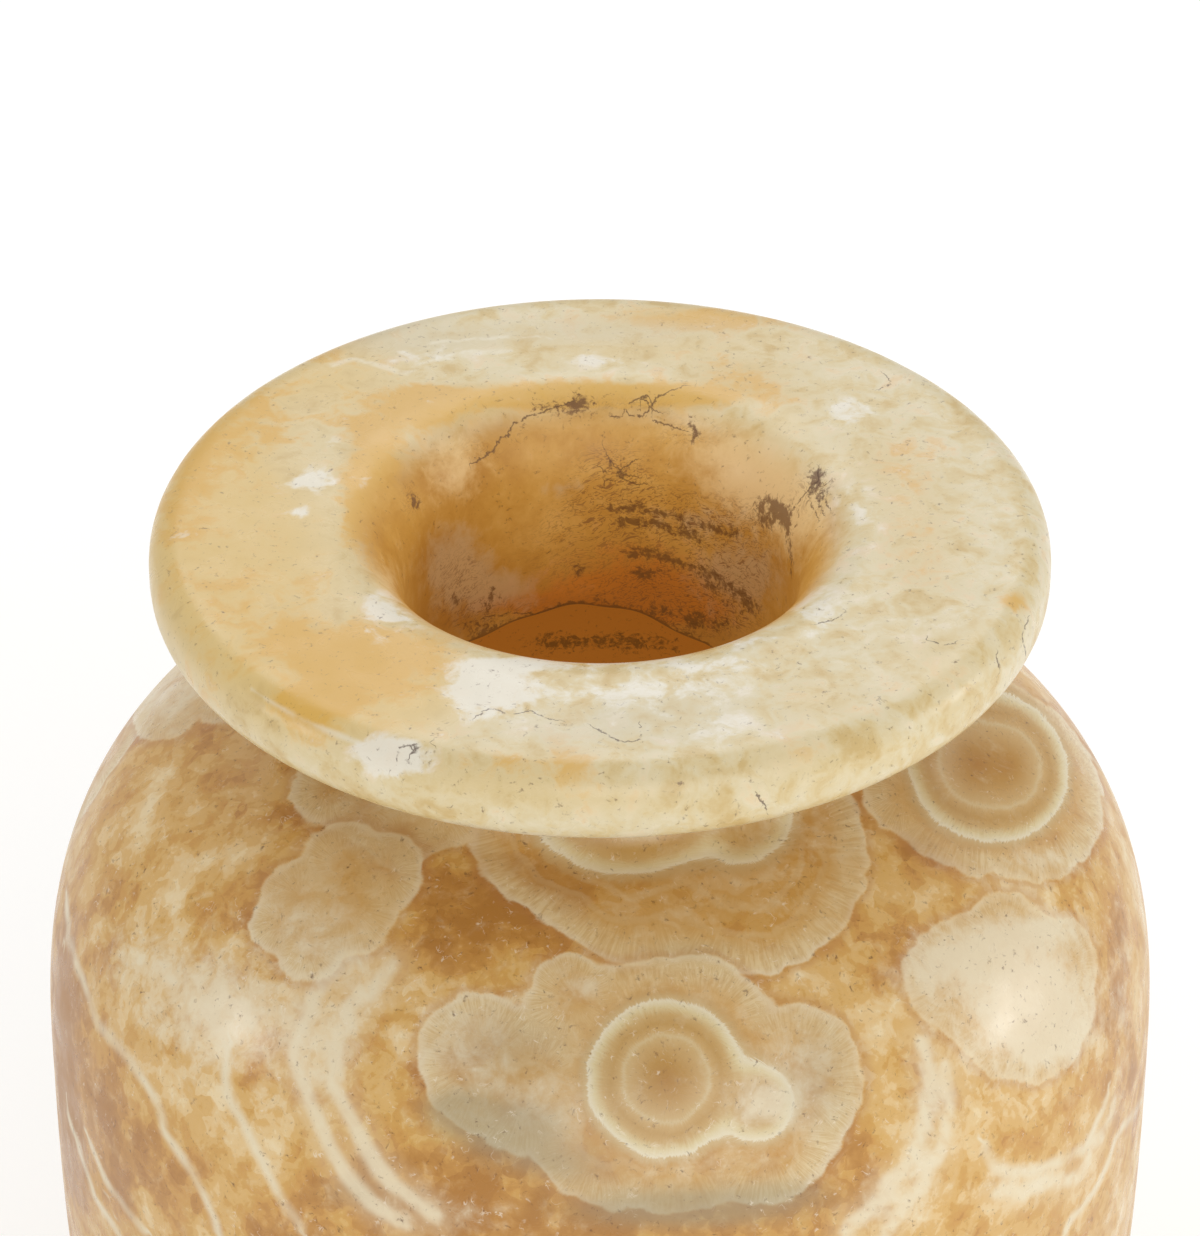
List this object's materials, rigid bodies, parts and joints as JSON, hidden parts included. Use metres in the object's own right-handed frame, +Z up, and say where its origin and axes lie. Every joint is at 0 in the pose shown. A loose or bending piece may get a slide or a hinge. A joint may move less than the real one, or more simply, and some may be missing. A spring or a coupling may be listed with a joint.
{
  "type": "alabaster vase",
  "caption": "Carved banded-alabaster vase: high-shouldered hollow body on a flat foot, short neck, broad flat rim falling into a drilled throat.",
  "frame": {"origin": "centre of the flat underside of the foot", "axes": "+Z up along the vase's axis, the pictured side facing -Y"},
  "size_m": [0.256, 0.256, 0.34],
  "materials": {
    "alabaster": "honey to cream banded calcite, hand polished with a soft gloss, lightly translucent"
  },
  "bodies": {
    "root": {"vase": "alabaster"}
  },
  "joints": []
}
